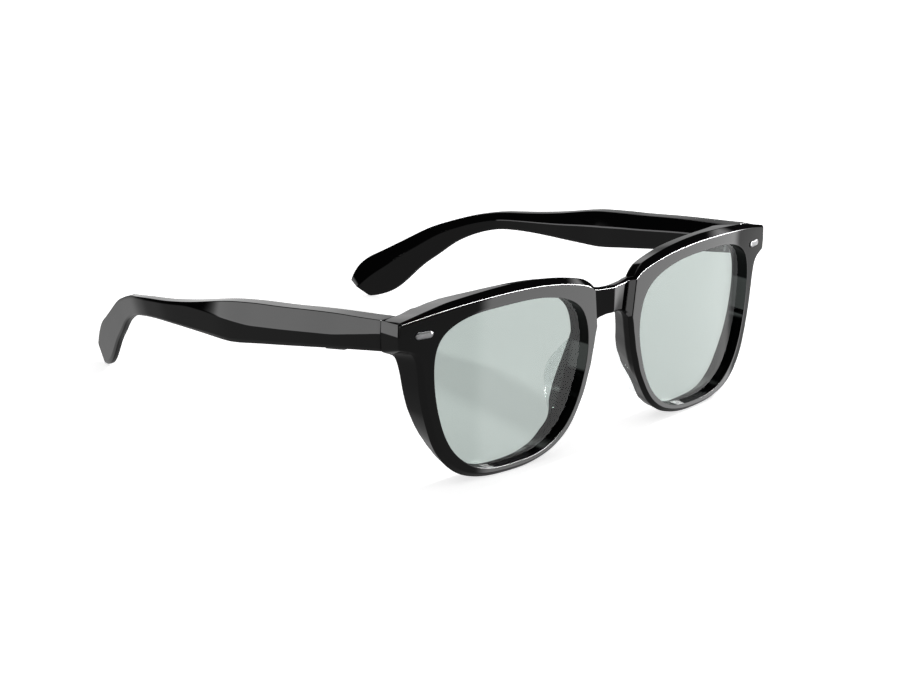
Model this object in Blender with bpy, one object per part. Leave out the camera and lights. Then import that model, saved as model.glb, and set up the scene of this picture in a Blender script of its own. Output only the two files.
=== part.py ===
"""Smart glasses: a wrapped front with two lenses, and two folding temples that carry the electronics.

Part frame, in millimetres, before the rest pose: X across the face with the wearer's left at +X,
the front faces -Y, the temples run towards +Y, Z is up and the lens plane stands upright.
The rest empty then tips the whole part so that the rims and both temple tips stand on Z = 0.
"""
import math

import bmesh
import bpy
import numpy as np
from mathutils import Vector

for old in list(bpy.data.objects):
    bpy.data.objects.remove(old, do_unlink=True)

MM = 0.001
GAP = 0.3

# Front: wrap of the face and thicknesses
WRAP_2 = 7.57e-4
WRAP_4 = 1.127e-7
HALF_WIDTH = 72.0
FRONT_SKIN = 2.6
SIDE_DEPTH = 6.4
BRIDGE_DEPTH = 4.4
BROW_DEPTH_RATE = 0.1
BROW_DEPTH_START = 28.0
BROW_DEPTH_MAX = 3.0
STEP_OUT = 8.2
STEP_IN = 6.6
STEP_DEPTH = 1.5
RIDGE_DEPTH = 1.0

# Lenses
LENS_CENTRE = (36.0, -5.0)
LENS_SEAT = 1.6
LENS_THICK = 1.9
LENS_GROW = 0.6
LENS_PLAY = 0.15
SEAT_GROW = 0.9
INNER_LIP = 0.25

# Temples: side outline pairs (top y, z, bottom y, z) from the hinge seam to the tip
SEAM_Y = 13.65
STATIONS = (
    (SEAM_Y, 15.5, SEAM_Y, 7.4), (20.0, 14.8, 20.0, 6.3), (30.0, 13.8, 30.0, 4.6),
    (40.0, 12.6, 40.0, 2.8), (50.0, 11.3, 50.0, 1.0), (58.0, 10.4, 58.0, -0.4),
    (64.0, 9.6, 64.0, -1.5), (68.5, 8.9, 68.0, -2.05), (75.0, 7.5, 74.0, -2.3),
    (82.0, 5.8, 81.0, -2.5), (90.0, 4.1, 89.0, -2.8), (98.0, 2.7, 97.0, -3.2),
    (106.0, 1.5, 104.0, -3.8), (113.0, 0.1, 109.5, -4.7), (119.0, -1.6, 114.5, -6.2),
    (125.0, -3.9, 119.0, -8.2), (131.0, -6.6, 123.5, -11.0), (137.0, -10.3, 128.0, -14.9),
    (142.5, -13.8, 133.0, -19.2), (147.0, -16.6, 137.5, -24.1), (151.6, -19.7, 142.0, -28.5),
    (155.6, -25.4, 147.6, -31.3), (156.2, -27.2, 149.6, -31.8),
)
OUTER_X = ((13.5, 72.2), (40.0, 74.0), (70.0, 75.3), (95.0, 74.2), (110.0, 72.6),
           (122.0, 67.4), (150.0, 54.9), (160.0, 50.5))
THICK = ((13.5, 6.8), (60.0, 6.6), (80.0, 5.8), (96.0, 4.6), (112.0, 3.6), (160.0, 3.2))
CREASE = ((13.5, 0.58), (40.0, 0.6), (60.0, 0.53), (72.0, 0.37), (86.0, 0.12), (160.0, 0.1))
OUTER_TOP_INSET = 0.9
OUTER_LOW_INSET = 0.8
INNER_TOP_INSET = 1.2
INNER_LOW_INSET = 0.5
INNER_CREASE = 0.42

# Inner cover of a temple, bonded into its seat, and the pocket behind it
COVER_FROM, COVER_TO = 22.0, 92.0
COVER_TOP, COVER_LOW = 0.12, 0.88
COVER_THICK = 1.4
COVER_SIDE_GAP = 0.25
COVER_EDGE_GAP = 0.025
COVER_SEAT_GAP = 0.2
POCKET_FROM, POCKET_TO = 25.5, 88.5
POCKET_TOP, POCKET_LOW = 0.2, 0.82
WALL = 1.2

# Modules in each pocket: name, distance, height fraction, depth from the outer face,
# length, height, thickness, material
MODULES = (
    ("microphone", 27.3, 0.5, 2.6, 2.2, 2.2, 1.4, "module_grey"),
    ("main_board", 38.2, 0.5, 3.4, 18.0, 4.2, 0.8, "board"),
    ("touch_sensor", 38.2, 0.5, 1.75, 16.0, 4.0, 0.4, "flex"),
    ("battery", 59.5, 0.5, 3.0, 22.0, 5.2, 2.6, "battery_foil"),
    ("speaker", 79.5, 0.5, 2.55, 12.0, 4.2, 1.8, "module_grey"),
)
GRILLE_Y, GRILLE_LATERAL = 79.0, 2.5
GRILLE_LENGTH, GRILLE_HALF_X = 9.6, 0.95
GRILLE_INSET, GRILLE_THICK = 0.25, 0.7
GRILLE_SLOPE = math.radians(-1.6)
GRILLE_SLOTS, GRILLE_PITCH = 7, 1.2

# Core wire of a tip: stations it spans, half widths and depths of channel and wire
CORE_STATIONS = range(12, 20)
CHANNEL_HALF, CHANNEL_DEPTH = 0.9, 1.4
WIRE_HALF, WIRE_DEPTH = 0.65, 1.1

# Hinges
PIVOT = (64.2, 13.5)
KNUCKLE_R = 1.15
PIN_R = 0.5
PIN_CLEAR = 0.05
HINGE_LOW, HINGE_HIGH = 8.5, 14.5
TONGUE_LOW, TONGUE_HIGH = 10.4, 12.6
KNUCKLE_GAP = 0.1

# Rivets, charging contacts and the front cable
RIVET_CENTRE = (65.3, 12.1)
RIVET_LENGTH, RIVET_HEIGHT = 4.8, 1.7
RIVET_STEPS = ((0.0, 0.02), (0.0, 0.22), (0.25, 0.38))
CONTACT_X, CONTACT_Z, CONTACT_R = 2.6, 9.4, 0.9
FLEX_HALF_WIDTH, FLEX_HALF_THICK = 0.5, 0.04

# Nose pads
PAD_TOP, PAD_HEIGHT = -1.5, 19.0
PAD_FLARE_X, PAD_FLARE_Y = 3.6, 4.2
PAD_LINE = ((-20.5, 18.6), (-15.5, 14.4), (-12.4, 12.9), (-9.3, 11.9), (-3.4, 10.3), (0.0, 9.8))

# Controls on the wearer's right temple
BUTTON_Y, SWITCH_Y = 31.0, 46.0
BUTTON_LATERAL = 3.2
SWITCH_F = 0.62
TEMPLE_SLOPE = math.radians(-9.9)
SWITCH_TRAVEL = 1.8
KNOB_PROUD = 0.45

# Rest pose: pitch about X, then the shift that puts the origin under the box centre
REST_PITCH = math.radians(0.985)
REST_Y = -78.233
REST_Z = 29.231


def material(name, colour, roughness, metallic, alpha=1.0):
    mat = bpy.data.materials.new(name)
    mat.use_nodes = True
    shader = mat.node_tree.nodes["Principled BSDF"]
    shader.inputs["Base Color"].default_value = (*colour, 1.0)
    shader.inputs["Roughness"].default_value = roughness
    shader.inputs["Metallic"].default_value = metallic
    shader.inputs["Alpha"].default_value = alpha
    mat.diffuse_color = (*colour, alpha)
    return mat


MATS = {
    "frame_black": material("frame_black", (0.008, 0.008, 0.009), 0.08, 0.0),
    "lens_tint": material("lens_tint", (0.62, 0.72, 0.68), 0.03, 0.0, 0.35),
    "clear_pad": material("clear_pad", (0.9, 0.92, 0.92), 0.05, 0.0, 0.35),
    "silver": material("silver", (0.75, 0.75, 0.76), 0.28, 1.0),
    "hinge_steel": material("hinge_steel", (0.45, 0.45, 0.47), 0.35, 1.0),
    "gold_contact": material("gold_contact", (0.83, 0.62, 0.25), 0.3, 1.0),
    "flex": material("flex", (0.75, 0.42, 0.08), 0.5, 0.0),
    "board": material("board", (0.02, 0.12, 0.06), 0.5, 0.0),
    "battery_foil": material("battery_foil", (0.55, 0.56, 0.58), 0.4, 0.6),
    "module_grey": material("module_grey", (0.12, 0.12, 0.13), 0.5, 0.0),
}


def empty(name, location, parent=None):
    obj = bpy.data.objects.new(name, None)
    bpy.context.scene.collection.objects.link(obj)
    obj.parent = parent
    obj.location = Vector(location) * MM
    return obj


rest = empty("rest_pose", (0.0, REST_Y, REST_Z))
rest.rotation_euler = (REST_PITCH, 0.0, 0.0)
fold = {
    side: empty(side + "_fold_axis", (sign * PIVOT[0], PIVOT[1], 0.0), rest)
    for side, sign in (("left", 1), ("right", -1))
}


def solid(name, verts, faces, mat, parent=rest, sign=1):
    """One object from part-frame points; sign -1 mirrors it to the wearer's right."""
    origin = Vector((0.0, 0.0, 0.0)) if parent == rest else parent.location
    bm = bmesh.new()
    made = [bm.verts.new(Vector((sign * x, y, z)) * MM - origin) for x, y, z in verts]
    for face in faces:
        if len(set(face)) == len(face):
            bm.faces.new([made[i] for i in face])
    bmesh.ops.remove_doubles(bm, verts=bm.verts, dist=1e-6)
    bmesh.ops.dissolve_degenerate(bm, dist=1e-7, edges=bm.edges)
    loose = [v for v in bm.verts if not v.link_faces]
    bmesh.ops.delete(bm, geom=loose, context="VERTS")
    bmesh.ops.recalc_face_normals(bm, faces=bm.faces)
    mesh = bpy.data.meshes.new(name)
    bm.to_mesh(mesh)
    bm.free()
    mesh.materials.append(MATS[mat])
    obj = bpy.data.objects.new(name, mesh)
    bpy.context.scene.collection.objects.link(obj)
    obj.parent = parent
    return obj


def boolean(target, tool, operation="DIFFERENCE"):
    """A Boolean of target with tool; the tool stays as a hidden wire cutter."""
    tool.hide_render = True
    tool.display_type = "WIRE"
    mod = target.modifiers.new(tool.name, "BOOLEAN")
    mod.operation = operation
    mod.solver = "EXACT"
    mod.object = tool


def spline(points, count):
    """Evenly spaced samples of the natural cubic through points, ends included."""
    pts = np.array(points, float)
    t = np.concatenate(([0.0], np.cumsum(np.linalg.norm(np.diff(pts, axis=0), axis=1))))
    n = len(t)
    h = np.diff(t)
    lhs = np.eye(n)
    rhs = np.zeros((n, pts.shape[1]))
    for i in range(1, n - 1):
        lhs[i, i - 1:i + 2] = h[i - 1], 2 * (h[i - 1] + h[i]), h[i]
        rhs[i] = 6 * ((pts[i + 1] - pts[i]) / h[i] - (pts[i] - pts[i - 1]) / h[i - 1])
    bend = np.linalg.solve(lhs, rhs)
    s = np.linspace(0.0, t[-1], 40 * n)
    k = np.clip(np.searchsorted(t, s, "right") - 1, 0, n - 2)
    a = ((t[k + 1] - s) / h[k])[:, None]
    b = 1 - a
    fine = a * pts[k] + b * pts[k + 1]
    fine += ((a**3 - a) * bend[k] + (b**3 - b) * bend[k + 1]) * (h[k] ** 2)[:, None] / 6
    return resample(fine, count)


def resample(line, count):
    run = np.concatenate(([0.0], np.cumsum(np.linalg.norm(np.diff(line, axis=0), axis=1))))
    at = np.linspace(0.0, run[-1], count)
    return np.stack([np.interp(at, run, line[:, i]) for i in range(line.shape[1])], 1)


def table(pairs, at):
    """Linear look-up in a table of (position, value)."""
    xs = [p[0] for p in pairs]
    return float(np.interp(at, xs, [p[1] for p in pairs]))


def front_y(x):
    return WRAP_2 * x * x + WRAP_4 * x**4


# ---------------------------------------------------------------- front outlines (x, z)
TOP_EDGE = ((0, 12.8), (5, 12.9), (8, 13.4), (9.8, 14.6), (12, 15.55), (16, 16.6), (22, 17.7),
            (30, 18.5), (38, 18.7), (46, 18.5), (58, 17.6), (66, 16.5), (HALF_WIDTH, 15.5))
SIDE_EDGE = ((HALF_WIDTH, 15.5), (HALF_WIDTH, 9.9))
LOW_EDGE = ((HALF_WIDTH, 9.9), (70.4, 9.1), (68.2, 8.2), (66.8, 6.9), (65.7, 4.0), (65.2, 1.2),
            (64.6, -3), (63.6, -8), (62.2, -13), (60.4, -17.8), (58.2, -21.2), (55.6, -23.9),
            (52.5, -25.9), (48.8, -27.2), (44.5, -27.95), (39.5, -28.2), (35, -28.2),
            (30, -27.8), (25.4, -26.8), (22.3, -25.7), (19.8, -24.3), (17.2, -22.2),
            (14.5, -18.8), (12.6, -15.5), (11.1, -12.4), (10.1, -9.3), (9.1, -6.3),
            (8.5, -3.4), (7.9, -0.5), (7.4, 2.4), (6.6, 4.4), (5.0, 5.7), (2.6, 6.1), (0, 6.2))
OPENING_RADII = (26.1, 26.3, 20.95, 16.75, 15.6, 16.65, 19.95, 24.7,
                 25.65, 25.9, 27.3, 27.7, 26.95, 28.25, 28.25, 26.5)
OPENING_CENTRE = (36.0, 0.0)


def nearest(line, point):
    return int(np.argmin(np.linalg.norm(line - np.array(point, float), axis=1)))


def opening_loop():
    """Lens opening as a clockwise closed loop of fine points."""
    n = len(OPENING_RADII)
    turns = [2 * math.pi * k / n for k in range(-n, 2 * n)]
    points = [(OPENING_CENTRE[0] + OPENING_RADII[k % n] * math.cos(a),
               OPENING_CENTRE[1] + OPENING_RADII[k % n] * math.sin(a))
              for k, a in enumerate(turns)]
    fine = spline(points, 3 * 720)
    start = nearest(fine[:720], points[n // 2])
    once = fine[start + 1:]
    stop = nearest(once[360:1000], fine[start]) + 360
    return once[:stop + 1][::-1]


# (outer point, opening point, bevel, points up to the next anchor)
ANCHORS = (
    ((0, 12.8), (12.6, 8.7), 0.45, 3), ((8, 13.4), (14.5, 10.8), 0.8, 3),
    ((12, 15.55), (17, 12.4), 1.5, 8), ((38, 18.7), (38, 15.6), 1.6, 7),
    ((58, 17.6), (54.5, 13.9), 1.3, 4), ((72, 15.5), (59.5, 11.0), 0.5, 2),
    ((72, 9.9), (61.3, 8.2), 0.3, 3), ((66.8, 6.9), (62.1, 5.0), 0.8, 4),
    ((64.6, -3), (61.8, -3), 1.1, 7), ((58.2, -21.2), (56.2, -19.8), 1.1, 7),
    ((39.5, -28.2), (39, -27), 1.05, 6), ((22.3, -25.7), (23.5, -24.7), 1.05, 8),
    ((10.1, -9.3), (12, -9.5), 1.05, 4), ((7.4, 2.4), (10.4, 1.5), 0.9, 3),
    ((5.0, 5.7), (11, 5), 0.5, 2), ((0, 6.2), (11.6, 6.9), 0.4, 3),
)


def ring_samples():
    """Matched samples round one rim: outer face edge, opening edge, bevel, on the mirror plane."""
    outer = np.concatenate([
        spline(TOP_EDGE, 500)[:-1],
        resample(np.array(SIDE_EDGE, float), 60)[:-1],
        spline(LOW_EDGE, 1200),
    ])
    opening = opening_loop()
    opening = np.roll(opening, -nearest(opening, ANCHORS[0][1]), axis=0)
    opening = np.concatenate([opening, opening[:1]])
    outs, ins, bevels, seam = [], [], [], []
    for k, (op, ip, bevel, count) in enumerate(ANCHORS):
        last = k == len(ANCHORS) - 1
        nxt = ANCHORS[(k + 1) % len(ANCHORS)]
        i0 = nearest(outer, op)
        j0 = nearest(opening[:-1], ip)
        j1 = len(opening) - 1 if last else nearest(opening[:-1], nxt[1])
        part_in = resample(opening[j0:j1 + 1], count + 1)[:-1]
        if last:
            part_out = resample(np.array([op, nxt[0]], float), count + 1)[:-1]
        else:
            part_out = resample(outer[i0:nearest(outer, nxt[0]) + 1], count + 1)[:-1]
        for m in range(count):
            outs.append(part_out[m])
            ins.append(part_in[m])
            bevels.append(bevel + (nxt[2] - bevel) * m / count)
            seam.append(last)
    return np.array(outs), np.array(ins), np.array(bevels), np.array(seam)


def outward(loop):
    """Outward unit normals of a clockwise closed loop in (x, z)."""
    tangent = np.roll(loop, -1, axis=0) - np.roll(loop, 1, axis=0)
    normal = np.stack([-tangent[:, 1], tangent[:, 0]], 1)
    return normal / np.linalg.norm(normal, axis=1)[:, None]


RIM_OUT, RIM_IN, RIM_BEVEL, RIM_SEAM = ring_samples()
RIM_COUNT = len(RIM_OUT)
OUT_NORMAL = outward(RIM_OUT)
OUT_NORMAL[np.abs(RIM_OUT[:, 0]) < 1e-6] = (0.0, 0.0)
OUT_NORMAL[0] = (0.0, 1.0)
FIRST_SEAM = int(np.argmax(RIM_SEAM))
OUT_NORMAL[FIRST_SEAM] = (0.0, -1.0)
IN_NORMAL = outward(RIM_IN)
RIM_FULL = RIM_OUT + OUT_NORMAL * RIM_BEVEL[:, None]


def face_depth(x):
    """Depth of the front face behind the wrap surface: zero on the rims, recessed at the bridge."""
    return table(((0.0, RIDGE_DEPTH), (STEP_IN, STEP_DEPTH), (STEP_OUT, 0.0)), abs(x))


def rear_depth(x, z):
    """Depth of the rear face: deeper towards the hinges along the brow, thin at the bridge."""
    brow = min(max((z - 6.0) / 6.0, 0.0), 1.0)
    extra = min(max(abs(x) - BROW_DEPTH_START, 0.0) * BROW_DEPTH_RATE, BROW_DEPTH_MAX)
    bridge = table(((6.0, 1.0), (12.0, 0.0)), abs(x)) * min(max(z / 4.0, 0.0), 1.0)
    depth = SIDE_DEPTH + brow * extra - bridge * (SIDE_DEPTH - BRIDGE_DEPTH)
    return min(depth, SEAM_Y - GAP - front_y(x))


def ring_solid(name, profile, mat):
    """Both rims and the bridge. profile(i) lists (x, z, depth) round the section of sample i."""
    sections = [profile(i) for i in range(RIM_COUNT)]
    size = len(sections[0])
    verts, faces = [], []
    for sign in (1, -1):
        base = len(verts)
        for section in sections:
            verts.extend((sign * x, front_y(x) + d, z) for x, z, d in section)
        for i in range(RIM_COUNT):
            j = (i + 1) % RIM_COUNT
            for k in range(size):
                m = (k + 1) % size
                a, b = base + i * size, base + j * size
                quad = [a + k, b + k, b + m, a + m]
                if all(abs(verts[v][0]) < 1e-6 for v in quad):
                    continue
                faces.append(quad if sign > 0 else quad[::-1])
    return solid(name, verts, faces, mat)


def blend(a, b, f):
    return a + (b - a) * f


def front_profile(i):
    a, o, full = RIM_IN[i], RIM_OUT[i], RIM_FULL[i]
    seat = a + IN_NORMAL[i] * SEAT_GROW
    lip = a + IN_NORMAL[i] * INNER_LIP
    on = [(*lip, 0.0)]
    for f in (0.32, 0.43, 0.7):
        p = blend(lip, o, f)
        on.append((*p, face_depth(p[0])))
    bevel = RIM_BEVEL[i]
    top = face_depth(o[0])
    on.append((*o, top))
    on.append((*full, top + bevel if bevel < 1.0 else bevel))
    on.append((*full, FRONT_SKIN))
    on.append((*seat, FRONT_SKIN))
    on.append((*seat, LENS_SEAT))
    on.append((*a, LENS_SEAT))
    on.append((*a, INNER_LIP))
    return on


def rear_profile(i):
    a, full = RIM_IN[i], RIM_FULL[i]
    seat = a + IN_NORMAL[i] * SEAT_GROW
    near = a + IN_NORMAL[i] * 0.2
    start = FRONT_SKIN + GAP
    depth = rear_depth(*full)
    nose = table(((9.0, 1.0), (24.0, 0.0)), full[0]) * (1.0 if full[1] < 3.0 else 0.0)
    chamfer = 0.8 + 1.0 * nose
    low = depth - chamfer * (0.7 if full[0] < 9.0 and full[1] > 3.0 else 1.0)
    back = full - OUT_NORMAL[i] * min(chamfer, 1.6)
    ledge = LENS_SEAT + LENS_THICK + 0.5
    if full[0] < 9.0 and full[1] > 3.0:
        ledge = min(ledge, depth - 0.2)
    return [(*seat, start), (*full, start), (*full, max(low, start + 0.2)), (*back, depth),
            (*near, depth), (*near, ledge - 0.2), (*seat, ledge - 0.2)]


front_frame = ring_solid("front_frame", front_profile, "frame_black")
rear_frame = ring_solid("rear_frame", rear_profile, "frame_black")


def loft(name, sections, mat, parent=rest, sign=1):
    """Closed solid through equal-length closed sections of part-frame points."""
    size = len(sections[0])
    verts = [p for section in sections for p in section]
    faces = [list(range(size))[::-1], [len(verts) - size + k for k in range(size)]]
    for i in range(len(sections) - 1):
        for k in range(size):
            m = (k + 1) % size
            faces.append([i * size + k, i * size + m, (i + 1) * size + m, (i + 1) * size + k])
    return solid(name, verts, faces, mat, parent, sign)


def box(name, low, high, mat, parent=rest, sign=1):
    (x0, y0, z0), (x1, y1, z1) = low, high
    floor = [(x0, y0, z0), (x1, y0, z0), (x1, y1, z0), (x0, y1, z0)]
    return loft(name, [floor, [(x, y, z1) for x, y, z in floor]], mat, parent, sign)


def disc(centre, radius, u, v, count=20):
    return [tuple(centre[i] + radius * (math.cos(t) * u[i] + math.sin(t) * v[i]) for i in range(3))
            for t in (2 * math.pi * k / count for k in range(count))]


def cylinder(name, start, end, radius, mat, parent=rest, sign=1, count=20):
    axis = (Vector(end) - Vector(start)).normalized()
    u = axis.orthogonal().normalized()
    v = axis.cross(u)
    ends = [disc(start, radius, u, v, count), disc(end, radius, u, v, count)]
    return loft(name, ends, mat, parent, sign)


# ---------------------------------------------------------------- endpieces of the rear frame
BLOCK_IN, BLOCK_OUT = 60.5, HALF_WIDTH + 0.2
BLOCK_FRONT, BLOCK_BACK = 9.6, SEAM_Y - GAP
for side, sign in (("left", 1), ("right", -1)):
    front = [(BLOCK_IN, BLOCK_FRONT, 8.3), (BLOCK_OUT, BLOCK_FRONT, 8.3),
             (BLOCK_OUT, BLOCK_FRONT, 16.0), (BLOCK_IN, BLOCK_FRONT, 17.2)]
    back = [(BLOCK_IN, BLOCK_BACK, 7.4), (BLOCK_OUT, BLOCK_BACK, 7.4),
            (BLOCK_OUT, BLOCK_BACK, 15.5), (BLOCK_IN, BLOCK_BACK, 16.2)]
    block = loft(side + "_endpiece_block", [front, back], "frame_black", rest, sign)
    boolean(rear_frame, block, "UNION")
    pocket = box(side + "_hinge_pocket", (62.6, 9.9, HINGE_LOW - GAP), (65.8, 16.0, HINGE_HIGH + GAP),
                 "frame_black", rest, sign)
    boolean(rear_frame, pocket)


# ---------------------------------------------------------------- lenses
def lens(name, sign):
    rim = RIM_IN + IN_NORMAL * LENS_GROW
    rings = (1.0, 0.8, 0.55, 0.3)
    centre = np.array(LENS_CENTRE)
    verts, faces = [], []
    for depth in (LENS_SEAT + LENS_PLAY, LENS_SEAT + LENS_PLAY + LENS_THICK):
        for scale in rings:
            for p in rim:
                q = centre + (p - centre) * scale
                verts.append((q[0], front_y(q[0]) + depth, q[1]))
        verts.append((centre[0], front_y(centre[0]) + depth, centre[1]))
    layer = len(rings) * RIM_COUNT + 1
    for s in (0, 1):
        for r in range(len(rings) - 1):
            for i in range(RIM_COUNT):
                j = (i + 1) % RIM_COUNT
                a, b = s * layer + r * RIM_COUNT, s * layer + (r + 1) * RIM_COUNT
                faces.append([a + i, a + j, b + j, b + i])
        last = s * layer + (len(rings) - 1) * RIM_COUNT
        middle = (s + 1) * layer - 1
        faces.extend([last + i, last + (i + 1) % RIM_COUNT, middle] for i in range(RIM_COUNT))
    for i in range(RIM_COUNT):
        j = (i + 1) % RIM_COUNT
        faces.append([i, j, layer + j, layer + i])
    return solid(name, verts, faces, "lens_tint", rest, sign)


# ---------------------------------------------------------------- temples
def outer_x(y):
    return table(OUTER_X, y)


def side_point(k, f):
    """Point (y, z) at fraction f down station k, from its top to its bottom."""
    ty, tz, by, bz = STATIONS[k]
    return ty + (by - ty) * f, tz + (bz - tz) * f


def station_at(y):
    """Top and bottom (y, z) of the outline at distance y, inside the straight front part."""
    tops = [(s[0], s[1]) for s in STATIONS[:13]]
    lows = [(s[2], s[3]) for s in STATIONS[:13]]
    return (y, table(tops, y)), (y, table(lows, y))


def temple_point(y, f, lateral):
    """Point at distance y and height fraction f; lateral counts inwards from the outer face."""
    (_, top), (_, low) = station_at(y)
    return (outer_x(y) - lateral, y, top + (low - top) * f)


def temple_section(k):
    """Eight-sided section of the temple at station k."""
    points = []
    mid_y = side_point(k, 0.5)[0]
    crease = table(CREASE, mid_y)
    thick = table(THICK, mid_y)
    for f, lateral in (
        (0.0, OUTER_TOP_INSET), (crease, 0.0),
        (0.9, 0.55 * OUTER_LOW_INSET), (1.0, OUTER_LOW_INSET + 0.2),
        (1.0, thick - INNER_LOW_INSET - 0.4), (0.92, thick - INNER_LOW_INSET),
        (INNER_CREASE, thick), (0.0, thick - INNER_TOP_INSET),
    ):
        y, z = side_point(k, f)
        points.append((outer_x(y) - lateral, y, z))
    return points


def panel(name, y_from, y_to, f_top, f_low, inner, outer, mat, parent, sign, steps=8):
    """Slab that follows the temple: inner and outer give lateral depth from the outer face at y."""
    sections = []
    for n in range(steps + 1):
        y = y_from + (y_to - y_from) * n / steps
        sections.append([temple_point(y, f_top, outer(y)), temple_point(y, f_low, outer(y)),
                         temple_point(y, f_low, inner(y)), temple_point(y, f_top, inner(y))])
    return loft(name, sections, mat, parent, sign)


def thick_at(y):
    return table(THICK, y)


def cover_section(y):
    t = thick_at(y)
    rows = ((COVER_TOP, t - COVER_THICK), (COVER_LOW, t - COVER_THICK),
            (COVER_LOW, t - INNER_LOW_INSET + 0.05), (INNER_CREASE, t),
            (COVER_TOP, t - INNER_TOP_INSET + 0.35))
    return [temple_point(y, f, lateral) for f, lateral in rows]


def along(y, f, lateral, length, height, depth, name, mat, parent, sign):
    """Box module inside the temple pocket, centred at (y, f, lateral) and level with the temple."""
    cx, cy, cz = temple_point(y, f, lateral)
    a, b = temple_point(y - 5, f, lateral), temple_point(y + 5, f, lateral)
    run = (Vector(b) - Vector(a)).normalized()
    up = Vector((0.0, -run.z, run.y)).normalized()
    across = run.cross(up).normalized()
    ends = []
    for s in (-0.5, 0.5):
        mid = Vector((cx, cy, cz)) + run * (s * length)
        ends.append([tuple(mid + up * (p * height) + across * (q * depth))
                     for p, q in ((-0.5, -0.5), (0.5, -0.5), (0.5, 0.5), (-0.5, 0.5))])
    return loft(name, ends, mat, parent, sign)


def hinge(side, sign):
    """Steel leaf in the endpiece, leaf in the temple, and the pin they turn on."""
    px, py = PIVOT
    leaf = box(side + "_hinge_front", (63.0, 10.2, HINGE_LOW), (65.4, 11.6, HINGE_HIGH),
               "hinge_steel", rest, sign)
    for tag, z0, z1 in (("low", HINGE_LOW, TONGUE_LOW - KNUCKLE_GAP),
                        ("high", TONGUE_HIGH + KNUCKLE_GAP, HINGE_HIGH)):
        web = box(side + "_web_" + tag, (px - 0.6, 11.2, z0), (px + 0.6, py, z1),
                  "hinge_steel", rest, sign)
        boolean(leaf, web, "UNION")
        knuckle = cylinder(side + "_knuckle_" + tag, (px, py, z0), (px, py, z1), KNUCKLE_R,
                           "hinge_steel", rest, sign)
        boolean(leaf, knuckle, "UNION")
    bore = cylinder(side + "_front_bore", (px, py, 0.0), (px, py, 20.0), PIN_R + PIN_CLEAR,
                    "hinge_steel", rest, sign)
    boolean(leaf, bore)

    axis = fold[side]
    tongue = cylinder(side + "_hinge_temple", (px, py, TONGUE_LOW), (px, py, TONGUE_HIGH), KNUCKLE_R,
                      "hinge_steel", axis, sign)
    floor = [(px + 0.1, py - 0.75, TONGUE_LOW), (66.6, 15.0, TONGUE_LOW), (69.0, 15.0, TONGUE_LOW),
             (69.0, 19.0, TONGUE_LOW), (66.0, 19.0, TONGUE_LOW), (66.0, 16.4, TONGUE_LOW),
             (px - 0.7, py + 0.7, TONGUE_LOW)]
    arm = loft(side + "_arm", [floor, [(x, y, TONGUE_HIGH) for x, y, _ in floor]],
               "hinge_steel", axis, sign)
    boolean(tongue, arm, "UNION")
    turn = cylinder(side + "_tongue_bore", (px, py, 0.0), (px, py, 20.0), PIN_R + PIN_CLEAR,
                    "hinge_steel", axis, sign)
    boolean(tongue, turn)
    cylinder(side + "_hinge_pin", (px, py, HINGE_LOW - 0.1), (px, py, HINGE_HIGH + 0.1), PIN_R,
             "hinge_steel", rest, sign)


def slope_axes(slope):
    """Directions along and square to a line that slopes in the side view."""
    return (Vector((0.0, math.cos(slope), math.sin(slope))),
            Vector((0.0, -math.sin(slope), math.cos(slope))))


def sloped_box(name, centre, slope, half_x, half_run, low, high, mat, parent, sign):
    """Box whose long side has that slope; low and high count upwards from centre."""
    run, up = slope_axes(slope)
    ends = []
    for s in (-half_run, half_run):
        mid = centre + run * s
        ends.append([tuple(mid + Vector((q, 0.0, 0.0)) + up * p)
                     for p, q in ((low, -half_x), (high, -half_x), (high, half_x), (low, half_x))])
    return loft(name, ends, mat, parent, sign)


grille_mid = Vector((outer_x(GRILLE_Y) - GRILLE_LATERAL, GRILLE_Y, station_at(GRILLE_Y)[1][1]))


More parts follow.
